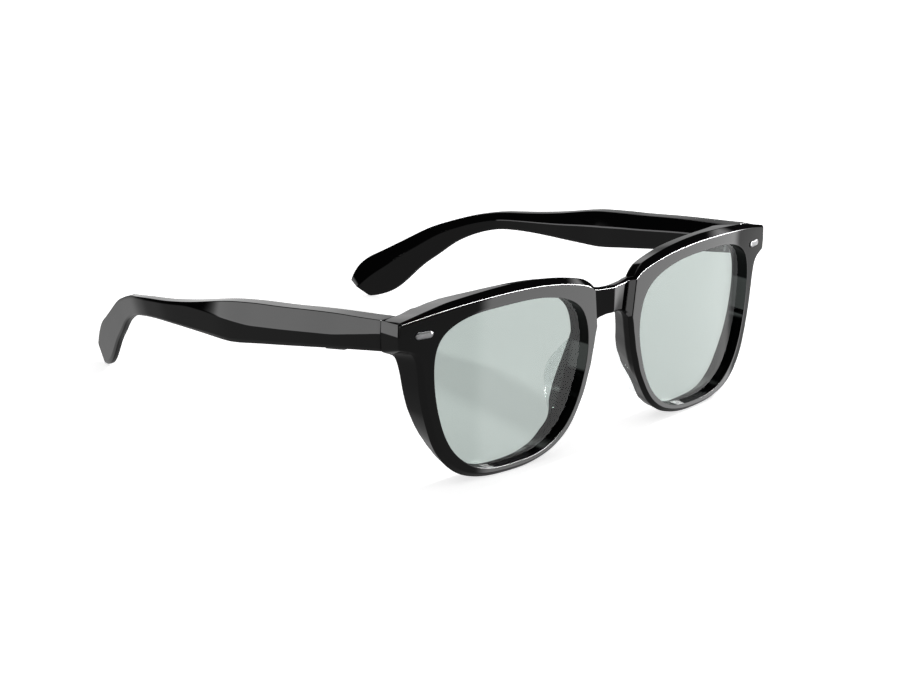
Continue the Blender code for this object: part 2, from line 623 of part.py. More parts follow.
def temple(side, sign):
    axis = fold[side]
    shell = loft(side + "_temple_shell", [temple_section(k) for k in range(len(STATIONS))],
                 "frame_black", axis, sign)
    seat = panel(side + "_cover_seat", COVER_FROM - COVER_SIDE_GAP, COVER_TO + COVER_SIDE_GAP,
                 COVER_TOP - COVER_EDGE_GAP, COVER_LOW + COVER_EDGE_GAP,
                 lambda y: thick_at(y) + 2.0, lambda y: thick_at(y) - COVER_THICK - COVER_SEAT_GAP,
                 "frame_black", axis, sign)
    boolean(shell, seat)
    pocket = panel(side + "_module_pocket", POCKET_FROM, POCKET_TO, POCKET_TOP, POCKET_LOW,
                   lambda y: thick_at(y) - COVER_THICK + 0.4, lambda y: WALL,
                   "frame_black", axis, sign)
    boolean(shell, pocket)
    slot = box(side + "_hinge_slot", (64.0, 13.0, TONGUE_LOW - COVER_SEAT_GAP),
               (69.3, 19.3, TONGUE_HIGH + COVER_SEAT_GAP), "frame_black", axis, sign)
    boolean(shell, slot)
    cover = loft(side + "_temple_cover",
                 [cover_section(COVER_FROM + (COVER_TO - COVER_FROM) * n / 10) for n in range(11)],
                 "frame_black", axis, sign)
    window = sloped_box(side + "_grille_window", grille_mid, GRILLE_SLOPE, GRILLE_HALF_X + 0.2,
                        GRILLE_LENGTH / 2 + 0.2, -1.0, 4.0, "frame_black", axis, sign)
    boolean(shell, window)
    grille = sloped_box(side + "_speaker_grille", grille_mid, GRILLE_SLOPE, GRILLE_HALF_X,
                        GRILLE_LENGTH / 2, GRILLE_INSET, GRILLE_INSET + GRILLE_THICK,
                        "module_grey", axis, sign)
    for n in range(GRILLE_SLOTS):
        offset = (n - (GRILLE_SLOTS - 1) / 2) * GRILLE_PITCH
        mid = grille_mid + slope_axes(GRILLE_SLOPE)[0] * offset
        bar = sloped_box(side + "_grille_slot_%d" % n, mid, GRILLE_SLOPE, GRILLE_HALF_X - 0.4,
                         0.35, -1.0, 3.0, "frame_black", axis, sign)
        boolean(grille, bar)

    for name, y, f, lateral, length, height, depth, mat in MODULES:
        along(y, f, lateral, length, height, depth, side + "_" + name, mat, axis, sign)


def core_section(k, half, low, high, lift):
    """Four-sided section across the tip at station k, from lateral depth low to high."""
    y, z = side_point(k, 0.5)
    ty, tz, by, bz = STATIONS[k]
    down = Vector((0.0, by - ty, bz - tz)).normalized()
    thick = table(THICK, y)
    return [(outer_x(y) - thick - lateral, y + down.y * s + lift, z + down.z * s)
            for s, lateral in ((-half, low), (half, low), (half, high), (-half, high))]


def core_wire(side, sign):
    """Flat metal core set into a blind channel in the tip."""
    channel = [core_section(k, CHANNEL_HALF, -CHANNEL_DEPTH, 1.5, 0.0) for k in CORE_STATIONS]
    cutter = loft(side + "_core_channel", channel, "hinge_steel", fold[side], sign)
    boolean(bpy.data.objects[side + "_temple_shell"], cutter)
    wire = [core_section(k, WIRE_HALF, -WIRE_DEPTH, -GAP, 0.35 if k == CORE_STATIONS[0] else 0.0)
            for k in CORE_STATIONS[:-1]]
    loft(side + "_core_wire", wire, "hinge_steel", fold[side], sign)


# ---------------------------------------------------------------- nose pads
def nose_pad(name, sign):
    """Clear fin behind the nose side of a rim, flared outwards towards the wearer."""
    rows = 9
    sections = []
    for n in range(rows):
        f = n / (rows - 1)
        z = PAD_TOP - PAD_HEIGHT * f
        reach = 0.35 + 0.65 * math.sin(math.pi * (0.12 + 0.76 * f))
        x = table(PAD_LINE, z)
        y = front_y(x) + SIDE_DEPTH + 0.2
        tip = (x + PAD_FLARE_X * reach, y + PAD_FLARE_Y * reach, z - 0.4 * reach)
        sections.append([(x - 0.55, y, z), (x + 0.75, y, z), (tip[0] + 0.45, tip[1] - 0.3, tip[2]),
                         (tip[0], tip[1], tip[2]), (tip[0] - 0.55, tip[1] + 0.1, tip[2])])
    return loft(name, sections, "clear_pad", rest, sign)


# ---------------------------------------------------------------- small trim on the front
def rivet(name, sign):
    """Pill-shaped metal plate on the front corner, with a bevelled edge."""
    cx, cz = RIVET_CENTRE
    slope = 2 * WRAP_2 * cx + 4 * WRAP_4 * cx**3
    straight = (RIVET_LENGTH - RIVET_HEIGHT) / 2
    sections = []
    for inset, lift in RIVET_STEPS:
        ring = []
        r = RIVET_HEIGHT / 2 - inset
        for k in range(24):
            t = 2 * math.pi * (k + 0.5) / 24
            u = math.cos(t) * r + math.copysign(straight, math.cos(t))
            ring.append((cx + u, front_y(cx) + slope * u - lift, cz + math.sin(t) * r))
        sections.append(ring)
    return loft(name, sections, "silver", rest, sign)


def front_flex():
    """Flat cable in the seam between the front shells, from endpiece to endpiece."""
    right = ((-57, 15.9), (-48, 17.0), (-38, 17.4), (-22, 16.3), (-14, 14.1), (-6, 10.2))
    line = spline(right + ((0, 9.4),) + tuple((-x, z) for x, z in right[::-1]), 61)
    mid = FRONT_SKIN + GAP / 2 + 0.03
    sections = []
    for x, z in line:
        near = front_y(x) + mid - FLEX_HALF_THICK
        far = front_y(x) + mid + FLEX_HALF_THICK
        low, high = z - FLEX_HALF_WIDTH, z + FLEX_HALF_WIDTH
        sections.append([(x, near, low), (x, far, low), (x, far, high), (x, near, high)])
    return loft("front_flex", sections, "flex")


contact_y = front_y(CONTACT_X) + BRIDGE_DEPTH
for side, sign in (("left", 1), ("right", -1)):
    lens(side + "_lens", sign)
    nose_pad(side + "_nose_pad", sign)
    rivet(side + "_rivet", sign)
    hinge(side, sign)
    temple(side, sign)
    core_wire(side, sign)
    cylinder(side + "_charge_contact", (CONTACT_X, contact_y + 0.02, CONTACT_Z),
             (CONTACT_X, contact_y + 0.32, CONTACT_Z), CONTACT_R, "gold_contact", rest, sign)
front_flex()

# ---------------------------------------------------------------- controls on the right temple
button_z = station_at(BUTTON_Y)[1][1]
button_mid = Vector((outer_x(BUTTON_Y) - BUTTON_LATERAL, BUTTON_Y, button_z))
switch_mid = Vector(temple_point(SWITCH_Y, SWITCH_F, thick_at(SWITCH_Y)))
right_axis = fold["right"]

button_hole = sloped_box("button_hole", button_mid, TEMPLE_SLOPE, 1.2, 3.7, -2.0, 4.0,
                         "frame_black", right_axis, -1)
boolean(bpy.data.objects["right_temple_shell"], button_hole)
sloped_box("capture_button", button_mid, TEMPLE_SLOPE, 1.0, 3.5, -0.55, 1.3,
           "module_grey", right_axis, -1)

window = sloped_box("switch_window", switch_mid, TEMPLE_SLOPE, 3.0, 3.2, -0.95, 0.95,
                    "frame_black", right_axis, -1)
boolean(bpy.data.objects["right_temple_cover"], window)
knob_mid = switch_mid - slope_axes(TEMPLE_SLOPE)[0] * (SWITCH_TRAVEL / 2)
knob_mid += Vector((KNOB_PROUD, 0.0, 0.0))
sloped_box("power_switch", knob_mid, TEMPLE_SLOPE, 0.65, 1.7, -0.75, 0.75,
           "module_grey", right_axis, -1)
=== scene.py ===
"""Smart glasses with a glossy black front, tinted lenses and folding temples, on a pale floor.

Shapes are laid out in the part's own upright frame, in millimetres: X across the face with the
wearer's left at +X, the front faces -Y, the temples run towards +Y, Z is up. place() turns that into
the row frame, in metres, with the small pitch at which the glasses stand on rims and tips.
"""
import math

import bmesh
import bpy
import numpy as np
from mathutils import Matrix, Vector


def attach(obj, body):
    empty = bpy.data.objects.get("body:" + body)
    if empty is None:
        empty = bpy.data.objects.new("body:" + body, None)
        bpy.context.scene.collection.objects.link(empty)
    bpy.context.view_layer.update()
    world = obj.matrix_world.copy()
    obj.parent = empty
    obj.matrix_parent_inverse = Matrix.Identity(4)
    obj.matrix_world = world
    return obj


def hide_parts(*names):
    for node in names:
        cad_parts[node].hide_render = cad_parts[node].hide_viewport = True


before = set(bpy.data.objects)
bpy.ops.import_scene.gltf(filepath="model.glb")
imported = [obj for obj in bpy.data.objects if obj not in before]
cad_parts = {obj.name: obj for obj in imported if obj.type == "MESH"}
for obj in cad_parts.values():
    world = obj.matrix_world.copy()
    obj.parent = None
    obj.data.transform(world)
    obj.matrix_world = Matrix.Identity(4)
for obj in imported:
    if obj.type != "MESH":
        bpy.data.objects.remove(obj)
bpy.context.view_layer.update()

MM = 0.001
REST_PITCH = math.radians(0.985)
REST_Y, REST_Z = -78.233, 29.231
PITCH_COS, PITCH_SIN = math.cos(REST_PITCH), math.sin(REST_PITCH)

# Front
WRAP_2, WRAP_4 = 7.57e-4, 1.127e-7
HALF_WIDTH = 71.65
SEAM_Y = 13.65
SEAM_GAP = 0.3
ENDPIECE_CREASE = 12.1
ENDPIECE_DROP = 1.7
CREASE_OUT = 0.2
SIDE_DEPTH = 7.4
BRIDGE_DEPTH = 4.4
LENS_SEAT, LENS_THICK = 1.6, 1.9

TOP_EDGE = ((8.28, 13.45), (9.8, 14.6), (12, 15.55), (16, 16.6), (22, 17.7), (30, 18.5), (38, 18.7),
            (46, 18.5), (58, 17.6), (66, 16.5), (HALF_WIDTH, 15.5))
LOW_EDGE = ((HALF_WIDTH, 9.3), (70.2, 8.8), (68.2, 8.1), (66.8, 6.9), (65.7, 4.0), (65.2, 1.2),
            (64.6, -3), (63.6, -8), (62.2, -13), (60.4, -17.8), (58.2, -21.2), (55.6, -23.9),
            (52.5, -25.9), (48.8, -27.2), (44.5, -27.95), (39.5, -28.2), (35, -28.2),
            (30, -27.8), (25.4, -26.8), (22.3, -25.7), (19.8, -24.3), (17.2, -22.2),
            (14.5, -18.8), (12.6, -15.5), (11.1, -12.4), (10.1, -9.3), (9.1, -6.3),
            (8.5, -3.4), (7.9, -0.5), (7.45, 2.0), (7.1, 3.3))
BRIDGE_TOP = ((0, 12.8), (3, 12.82), (6, 12.98), (8.28, 13.45))
BRIDGE_LOW = ((0, 6.2), (2.6, 6.05), (5.0, 5.4), (6.4, 4.5), (7.1, 3.3))
OPENING_RADII = (26.1, 26.3, 20.95, 16.75, 15.6, 16.65, 19.95, 24.7,
                 25.65, 25.9, 27.3, 27.7, 26.95, 28.25, 28.25, 26.5)
OPENING_CENTRE = (36.0, 0.0)

# Temples: side outline (top y, z, bottom y, z) from the hinge seam to the tip
STATIONS = (
    (SEAM_Y, 15.5, SEAM_Y, 7.4), (20.0, 14.8, 20.0, 6.3), (30.0, 13.8, 30.0, 4.6),
    (40.0, 12.6, 40.0, 2.8), (50.0, 11.3, 50.0, 1.0), (58.0, 10.4, 58.0, -0.4),
    (64.0, 9.6, 64.0, -1.5), (68.5, 8.9, 68.0, -2.05), (75.0, 7.5, 74.0, -2.3),
    (82.0, 5.8, 81.0, -2.5), (90.0, 4.1, 89.0, -2.8), (98.0, 2.7, 97.0, -3.2),
    (106.0, 1.5, 104.0, -3.8), (113.0, 0.1, 109.5, -4.7), (119.0, -1.6, 114.5, -6.2),
    (125.0, -3.9, 119.0, -8.2), (131.0, -6.6, 123.5, -11.0), (137.0, -10.3, 128.0, -14.9),
    (142.5, -13.8, 133.0, -19.2), (147.0, -16.6, 137.5, -24.1), (151.6, -19.7, 142.0, -28.5),
    (155.6, -25.4, 147.6, -31.3), (156.2, -27.2, 149.6, -31.8),
)
OUTER_X = ((13.5, 72.15), (40.0, 74.0), (70.0, 75.3), (95.0, 74.2), (110.0, 72.6),
           (122.0, 67.4), (150.0, 54.9), (160.0, 50.5))
THICK = ((13.5, 6.8), (60.0, 6.6), (80.0, 5.8), (96.0, 4.6), (112.0, 3.6), (160.0, 3.2))
CREASE = ((13.5, 0.42), (30.0, 0.58), (60.0, 0.53), (72.0, 0.37), (86.0, 0.12), (160.0, 0.1))
OUTER_TILT = ((13.5, 0.06), (28.0, 0.2), (45.0, 0.25))
OUTER_LOW_INSET = ((13.5, 0.2), (30.0, 0.5), (45.0, 0.8))
INNER_TOP_INSET, INNER_LOW_INSET = 1.2, 0.5
INNER_CREASE = 0.42


def place(x, y, z):
    """Row-frame point, in metres, of a part-frame point in millimetres."""
    return Vector((x, y * PITCH_COS - z * PITCH_SIN + REST_Y,
                   y * PITCH_SIN + z * PITCH_COS + REST_Z)) * MM


# ---------------------------------------------------------------- curves
def resample(line, count):
    line = np.asarray(line, float)
    run = np.concatenate(([0.0], np.cumsum(np.linalg.norm(np.diff(line, axis=0), axis=1))))
    at = np.linspace(0.0, run[-1], count)
    return np.stack([np.interp(at, run, line[:, i]) for i in range(line.shape[1])], 1)


def spline(points, count):
    """Samples of the natural cubic through points, ends included, evenly spaced along it."""
    pts = np.array(points, float)
    t = np.concatenate(([0.0], np.cumsum(np.linalg.norm(np.diff(pts, axis=0), axis=1))))
    n = len(t)
    h = np.diff(t)
    lhs = np.eye(n)
    rhs = np.zeros((n, pts.shape[1]))
    for i in range(1, n - 1):
        lhs[i, i - 1:i + 2] = h[i - 1], 2 * (h[i - 1] + h[i]), h[i]
        rhs[i] = 6 * ((pts[i + 1] - pts[i]) / h[i] - (pts[i] - pts[i - 1]) / h[i - 1])
    bend = np.linalg.solve(lhs, rhs)
    s = np.linspace(0.0, t[-1], 60 * n)
    k = np.clip(np.searchsorted(t, s, "right") - 1, 0, n - 2)
    a = ((t[k + 1] - s) / h[k])[:, None]
    b = 1 - a
    fine = a * pts[k] + b * pts[k + 1]
    fine += ((a**3 - a) * bend[k] + (b**3 - b) * bend[k + 1]) * (h[k] ** 2)[:, None] / 6
    return resample(fine, count)


def smooth_table(pairs, at, width):
    """Linear table look-up, averaged over a window so that its corners turn smoothly."""
    xs = [p[0] for p in pairs]
    ys = [p[1] for p in pairs]
    steps = np.linspace(-width, width, 9)
    weight = np.cos(steps / (width * 1.1) * math.pi / 2)
    return float(np.dot(np.interp(at + steps, xs, ys), weight) / weight.sum())


def table(pairs, at):
    """Linear table look-up."""
    return float(np.interp(at, [p[0] for p in pairs], [p[1] for p in pairs]))


def front_y(x):
    """Depth of the curved front face at x."""
    return WRAP_2 * x * x + WRAP_4 * x**4


def blend(a, b, f):
    return a + (b - a) * f


def smooth(f):
    f = min(max(f, 0.0), 1.0)
    return f * f * (3 - 2 * f)


# ---------------------------------------------------------------- meshes
def weighted_normals(mesh, angle):
    """Area-weighted corner normals; faces that meet at more than angle stay separate."""
    limit = math.cos(angle)
    mesh.calc_loop_triangles()
    normals = [p.normal.copy() for p in mesh.polygons]
    areas = [p.area for p in mesh.polygons]
    around = [[] for _ in mesh.vertices]
    for p in mesh.polygons:
        for v in p.vertices:
            around[v].append(p.index)
    out = [None] * len(mesh.loops)
    for p in mesh.polygons:
        own = normals[p.index]
        for li, v in zip(p.loop_indices, p.vertices):
            total = Vector((0.0, 0.0, 0.0))
            for q in around[v]:
                if normals[q].dot(own) > limit:
                    total += normals[q] * areas[q]
            out[li] = total.normalized() if total.length > 0 else own
    for p in mesh.polygons:
        p.use_smooth = True
    mesh.normals_split_custom_set([tuple(n) for n in out])


def finish_mesh(name, bm, mat, angle=math.radians(50)):
    bmesh.ops.remove_doubles(bm, verts=bm.verts, dist=1e-7)
    bmesh.ops.dissolve_degenerate(bm, dist=1e-8, edges=bm.edges)
    bmesh.ops.recalc_face_normals(bm, faces=bm.faces)
    mesh = bpy.data.meshes.new(name)
    bm.to_mesh(mesh)
    bm.free()
    weighted_normals(mesh, angle)
    mesh.materials.append(mat)
    obj = bpy.data.objects.new(name, mesh)
    bpy.context.scene.collection.objects.link(obj)
    return obj


def mesh_object(name, verts, faces, mat, sign=1, angle=math.radians(50)):
    """Object from part-frame points; sign -1 mirrors it to the wearer's right."""
    bm = bmesh.new()
    made = [bm.verts.new(place(sign * x, y, z)) for x, y, z in verts]
    for face in faces:
        if len(set(face)) == len(face):
            try:
                bm.faces.new([made[i] for i in face])
            except ValueError:
                pass
    return finish_mesh(name, bm, mat, angle)


def rounded(corners, setbacks, steps):
    """Closed polygon of 3-D corners with each corner turned into a short arc."""
    pts = [np.array(c, float) for c in corners]
    out = []
    n = len(pts)
    for i in range(n):
        before, here, after = pts[i - 1], pts[i], pts[(i + 1) % n]
        count = steps[i]
        if count == 0:
            out.append(here)
            continue
        d0 = np.linalg.norm(before - here)
        d1 = np.linalg.norm(after - here)
        s = min(setbacks[i], 0.45 * d0, 0.45 * d1)
        a = here + (before - here) * (s / max(d0, 1e-9))
        b = here + (after - here) * (s / max(d1, 1e-9))
        for k in range(count + 1):
            f = k / count
            out.append(a * (1 - f) ** 2 + here * 2 * f * (1 - f) + b * f * f)
    return out


def loft(name, sections, mat, sign=1, angle=math.radians(50)):
    """Closed solid through equal-length closed sections, with a fan cap on each end."""
    size = len(sections[0])
    verts = [tuple(p) for section in sections for p in section]
    faces = []
    for i in range(len(sections) - 1):
        for k in range(size):
            m = (k + 1) % size
            faces.append([i * size + k, i * size + m, (i + 1) * size + m, (i + 1) * size + k])
    faces.append(list(range(size))[::-1])
    faces.append([len(verts) - size + k for k in range(size)])
    return mesh_object(name, verts, faces, mat, sign, angle)


# ---------------------------------------------------------------- materials
def new_material(name):
    mat = bpy.data.materials.new(name)
    mat.use_nodes = True
    return mat, mat.node_tree, mat.node_tree.nodes["Principled BSDF"]


def plain(name, colour, roughness, metallic, grain=0.0, scale=900.0):
    """Principled surface with a faint procedural unevenness in colour and roughness."""
    mat, tree, shader = new_material(name)
    shader.inputs["Metallic"].default_value = metallic
    coords = tree.nodes.new("ShaderNodeTexCoord")
    noise = tree.nodes.new("ShaderNodeTexNoise")
    noise.inputs["Scale"].default_value = scale
    noise.inputs["Detail"].default_value = 4.0
    tree.links.new(coords.outputs["Object"], noise.inputs["Vector"])
    ramp = tree.nodes.new("ShaderNodeMapRange")
    ramp.inputs["To Min"].default_value = roughness * (1 - grain)
    ramp.inputs["To Max"].default_value = roughness * (1 + grain)
    tree.links.new(noise.outputs["Fac"], ramp.inputs["Value"])
    tree.links.new(ramp.outputs["Result"], shader.inputs["Roughness"])
    tint = tree.nodes.new("ShaderNodeMixRGB")
    tint.inputs["Color1"].default_value = (*[c * (1 - 0.5 * grain) for c in colour], 1)
    tint.inputs["Color2"].default_value = (*[min(c * (1 + 0.5 * grain), 1) for c in colour], 1)
    tree.links.new(noise.outputs["Fac"], tint.inputs["Fac"])
    tree.links.new(tint.outputs["Color"], shader.inputs["Base Color"])
    return mat, shader


BLACK = plain("polished_black", (0.0045, 0.0045, 0.0048), 0.035, 0.0, 0.15, 300.0)[0]
STEEL = plain("hinge_steel", (0.5, 0.5, 0.51), 0.32, 1.0, 0.3)[0]
SILVER = plain("satin_silver", (0.46, 0.46, 0.47), 0.38, 1.0, 0.12)[0]
GOLD = plain("gold_contact", (0.83, 0.62, 0.25), 0.28, 1.0, 0.2)[0]
MODULE = plain("moulded_grey", (0.02, 0.02, 0.022), 0.4, 0.0, 0.3)[0]
FOIL = plain("battery_foil", (0.55, 0.56, 0.58), 0.4, 0.8, 0.3)[0]
BOARD = plain("circuit_board", (0.02, 0.1, 0.05), 0.5, 0.0, 0.3)[0]
FLEX = plain("amber_film", (0.7, 0.4, 0.08), 0.45, 0.0, 0.3)[0]


def clear_material(name, tint, reflectance):
    """See-through coloured sheet whose surfaces mirror more at a glancing angle."""
    mat, tree, shader = new_material(name)
    tree.nodes.remove(shader)
    through = tree.nodes.new("ShaderNodeBsdfTransparent")
    through.inputs["Color"].default_value = (*tint, 1)
    mirror = tree.nodes.new("ShaderNodeBsdfGlossy")
    mirror.inputs["Color"].default_value = (1, 1, 1, 1)
    mirror.inputs["Roughness"].default_value = 0.02
    facing = tree.nodes.new("ShaderNodeLayerWeight")
    facing.inputs["Blend"].default_value = 0.5
    power = tree.nodes.new("ShaderNodeMath")
    power.operation = "POWER"
    power.inputs[1].default_value = 5.0
    share = tree.nodes.new("ShaderNodeMapRange")
    share.inputs["To Min"].default_value = reflectance
    share.inputs["To Max"].default_value = 0.9
    both = tree.nodes.new("ShaderNodeMixShader")
    tree.links.new(facing.outputs["Facing"], power.inputs[0])
    tree.links.new(power.outputs[0], share.inputs["Value"])
    tree.links.new(share.outputs["Result"], both.inputs["Fac"])
    tree.links.new(through.outputs[0], both.inputs[1])
    tree.links.new(mirror.outputs[0], both.inputs[2])
    tree.links.new(both.outputs[0], tree.nodes["Material Output"].inputs["Surface"])
    return mat


LENS = clear_material("lens_tint", (0.615, 0.652, 0.637), 0.014)
CLEAR = clear_material("clear_pad", (0.955, 0.965, 0.965), 0.06)

# ---------------------------------------------------------------- front shell


def nearest(line, point):
    return int(np.argmin(np.linalg.norm(line - np.array(point, float), axis=1)))


def opening_loop():
    """Lens opening as a clockwise closed loop of fine points."""
    n = len(OPENING_RADII)
    turns = [2 * math.pi * k / n for k in range(-n, 2 * n)]
    points = [(OPENING_CENTRE[0] + OPENING_RADII[k % n] * math.cos(a),
               OPENING_CENTRE[1] + OPENING_RADII[k % n] * math.sin(a)) for k, a in enumerate(turns)]
    fine = spline(points, 3 * 1440)
    start = nearest(fine[:1440], points[n // 2])
    once = fine[start + 1:]
    stop = nearest(once[720:2000], fine[start]) + 720
    return once[:stop + 1][::-1]


def corner_arc(before, corner, after, radius, steps):
    """Points of a small arc that rounds a corner of an outline."""
    c = np.array(corner, float)
    a = np.array(before, float) - c
    b = np.array(after, float) - c
    p = c + a / np.linalg.norm(a) * radius
    q = c + b / np.linalg.norm(b) * radius
    return [p * (1 - f) ** 2 + c * 2 * f * (1 - f) + q * f * f for f in np.linspace(0, 1, steps)]


# (outer point, opening point, bevel, samples up to the next anchor)
ANCHORS = (
    ((8.28, 13.45), (14.5, 10.8), 0.8, 12),
    ((12, 15.55), (17, 12.4), 1.45, 44), ((38, 18.7), (38, 15.6), 1.6, 34),
    ((58, 17.6), (54.5, 13.9), 1.3, 16), ((71.25, 15.57), (59.3, 11.15), 0.5, 5),
    ((HALF_WIDTH, 15.1), (59.8, 10.8), 0.4, 9),
    ((HALF_WIDTH, 9.65), (61.1, 8.6), 0.3, 5), ((71.3, 9.15), (61.4, 8.1), 0.3, 10),
    ((66.8, 6.9), (62.1, 5.0), 0.8, 18),
    ((64.6, -3), (61.8, -3), 1.1, 34), ((58.2, -21.2), (56.2, -19.8), 1.1, 34),
    ((39.5, -28.2), (39, -27), 1.05, 28), ((22.3, -25.7), (23.5, -24.7), 1.05, 36),
    ((10.1, -9.3), (12, -9.5), 1.05, 18), ((7.1, 3.3), (10.2, 0.6), 0.9, 12),
)


def ring_samples():
    """Matched samples round one rim. The last run of samples climbs the side of the bridge."""
    top = spline(TOP_EDGE, 900)
    low = spline(LOW_EDGE, 2400)
    crease = (HALF_WIDTH + CREASE_OUT, ENDPIECE_CREASE)
    corner_a = corner_arc(top[-30], (HALF_WIDTH, 15.5), crease, 0.4, 7)
    corner_b = corner_arc(crease, (HALF_WIDTH, 9.3), low[40], 0.35, 7)
    keep_top = top[top[:, 0] < corner_a[0][0]]
    keep_low = low[nearest(low, corner_b[-1]) + 1:]
    side = resample([corner_a[-1], crease, corner_b[0]], 60)[1:-1]
    outer = np.concatenate([keep_top, corner_a, side, corner_b, keep_low])
    opening = opening_loop()
    opening = np.roll(opening, -nearest(opening, ANCHORS[0][1]), axis=0)
    opening = np.concatenate([opening, opening[:1]])
    outs, ins, bevels, seam = [], [], [], []
    for k, (op, ip, bevel, count) in enumerate(ANCHORS):
        last = k == len(ANCHORS) - 1
        nxt = ANCHORS[(k + 1) % len(ANCHORS)]
        i0 = nearest(outer, op)
        j0 = nearest(opening[:-1], ip)
        j1 = len(opening) - 1 if last else nearest(opening[:-1], nxt[1])
        part_in = resample(opening[j0:j1 + 1], count + 1)[:-1]
        if last:
            part_out = resample([outer[-1], outer[0]], count + 1)[:-1]
        else:
            part_out = resample(outer[i0:nearest(outer, nxt[0]) + 1], count + 1)[:-1]
        for m in range(count):
            outs.append(part_out[m])
            ins.append(part_in[m])
            bevels.append(bevel + (nxt[2] - bevel) * m / count)
            seam.append(last)
    return np.array(outs), np.array(ins), np.array(bevels), np.array(seam)


def outward(loop):
    tangent = np.roll(loop, -1, axis=0) - np.roll(loop, 1, axis=0)
    normal = np.stack([-tangent[:, 1], tangent[:, 0]], 1)
    return normal / np.linalg.norm(normal, axis=1)[:, None]


RIM_OUT, RIM_IN, RIM_BEVEL, RIM_SEAM = ring_samples()
RIM_COUNT = len(RIM_OUT)
SEAM_FROM = int(np.argmax(RIM_SEAM))
OUT_NORMAL = outward(RIM_OUT)
OUT_NORMAL[0] = outward(RIM_OUT[:3])[1]
OUT_NORMAL[SEAM_FROM] = OUT_NORMAL[SEAM_FROM - 1]
IN_NORMAL = outward(RIM_IN)


def top_weight(normal):
    """How far an outline normal faces up, 0 to 1."""
    return smooth((normal[1] - 0.3) / 0.5)


def outer_depth(i):
    """Depth of the rear edge of the outer wall at sample i."""
    x = RIM_OUT[i][0]
    seam = SEAM_Y - SEAM_GAP - front_y(x)
    if i < BROW_END:
        return min(table(BROW_DEPTH, x), seam)
    if i < ENDPIECE_END:
        return seam
    return blend(seam, SIDE_DEPTH, smooth((i - ENDPIECE_END) / 4))


# Depth of the wall's rear edge along the brow, and how far it leans back per millimetre, by x
BROW_DEPTH = ((8.28, 4.6), (14, 5.6), (24, 6.6), (38, 6.9), (46, 7.7), (50, 7.9), (54, 9.2),
              (61, 8.8), (62, 99))
BROW_SLOPE = ((38, 0.27), (46, 0.235), (50, 0.2), (62, 0.21), (66, 0.22), (70, 0.15))
# Outline point, and how far the wall's rear edge lies inside its front edge there
SIDE_INSET = (((68.2, 8.1), -1.5), ((66.3, 5.5), -1.1), ((65.7, 4.0), -0.9),
              ((65.2, 1.2), -0.6), ((64.6, -3), -0.3), ((63.6, -8), 0.0), ((62.2, -13), 0.7),
              ((60.4, -17.8), 1.7), ((58.2, -21.2), 1.9), ((55.6, -23.9), 1.6), ((52.5, -25.9), 1.2),
              ((48.8, -27.2), 0.5), ((44.5, -27.95), 0.2), ((30, -27.8), 0.2), ((24.2, -26.6), 0.4),
              ((19.8, -24.3), 1.2), ((14.5, -17.5), 1.0), ((11.5, -12), 0.3), ((10.1, -9.3), 0.0))
BROW_END = nearest(RIM_OUT[:SEAM_FROM], (62.0, 17.1))
ENDPIECE_END = nearest(RIM_OUT[:SEAM_FROM], (67.6, 7.75))
INSET_AT = [nearest(RIM_OUT[:SEAM_FROM], row[0]) for row in SIDE_INSET]
NOSE_FROM = nearest(RIM_OUT[:SEAM_FROM], (19.8, -24.3))
NOSE_WALL = 2.9
CHAMFER, ENDPIECE_CHAMFER = 0.7, 0.12
# Depth of the rear edge on the nose side, and width of the slope behind its wall, by height
NOSE_DEPTH = ((-25, 6.2), (-22, 6.6), (-18, 8.3), (-14, 9.2), (-9, 9.2), (-5, 8.7), (-1, 7.9), (3.3, 7.4))
NOSE_SLOPE = ((-24, 1.9), (-12, 3.1), (-2, 2.4), (4, 1.8))
# Depth of the opening's rear edge by direction from the opening's centre, in degrees
OPENING_DEPTH = ((0, 5.5), (15, 5.6), (45, 6.0), (90, 6.3), (180, 6.3), (210, 6.0), (225, 5.4),
                 (240, 4.5), (270, 4.4), (285, 4.6), (300, 4.1), (315, 3.8), (330, 4.3), (345, 5.7),
                 (360, 5.5))


def opening_depth(point):
    """Depth of the rear edge of the lens opening at an outline point."""
    turn = math.degrees(math.atan2(point[1] - OPENING_CENTRE[1], point[0] - OPENING_CENTRE[0])) % 360
    return smooth_table(OPENING_DEPTH, turn, 8.0)


FACE_STEPS, REAR_STEPS = 5, 4


def wall_lean(i):
    """Shift of the outer wall's rear edge at sample i, in the plane of the outline."""
    crease = nearest(RIM_OUT[:SEAM_FROM], (HALF_WIDTH + CREASE_OUT, ENDPIECE_CREASE))
    if i < crease:
        return np.zeros(2)
    drop = min((ENDPIECE_CREASE - RIM_OUT[i][1]) / (ENDPIECE_CREASE - LOW_EDGE[0][1]), 1.0)
    inset = float(np.interp(i, INSET_AT, [row[1] for row in SIDE_INSET]))
    down = np.array((0.0, -ENDPIECE_DROP * drop))
    return blend(down, -OUT_NORMAL[i] * inset, smooth((i - INSET_AT[0] + 3) / 6))


CHAIN_SETBACKS, CHAIN_STEPS = (0.2, 0.14, 0.4, 0.4), (3, 2, 3, 3)


def at_depth(p, depth):
    return np.array((p[0], front_y(p[0]) + depth, p[1]))


def arc(before, here, after, setback, count):
    d0 = np.linalg.norm(before - here)
    d1 = np.linalg.norm(after - here)
    s = min(setback, 0.45 * d0, 0.45 * d1)
    a = here + (before - here) * (s / max(d0, 1e-9))
    b = here + (after - here) * (s / max(d1, 1e-9))
    return [a * (1 - f) ** 2 + here * 2 * f * (1 - f) + b * f * f for f in np.linspace(0, 1, count + 1)]


def chain(points):
    """Rounded run over the outer edge, bevel, wall and chamfer: six points in, fourteen out."""
    out = []
    for k in range(4):
        out += arc(points[k], points[k + 1], points[k + 2], CHAIN_SETBACKS[k], CHAIN_STEPS[k])
    return out


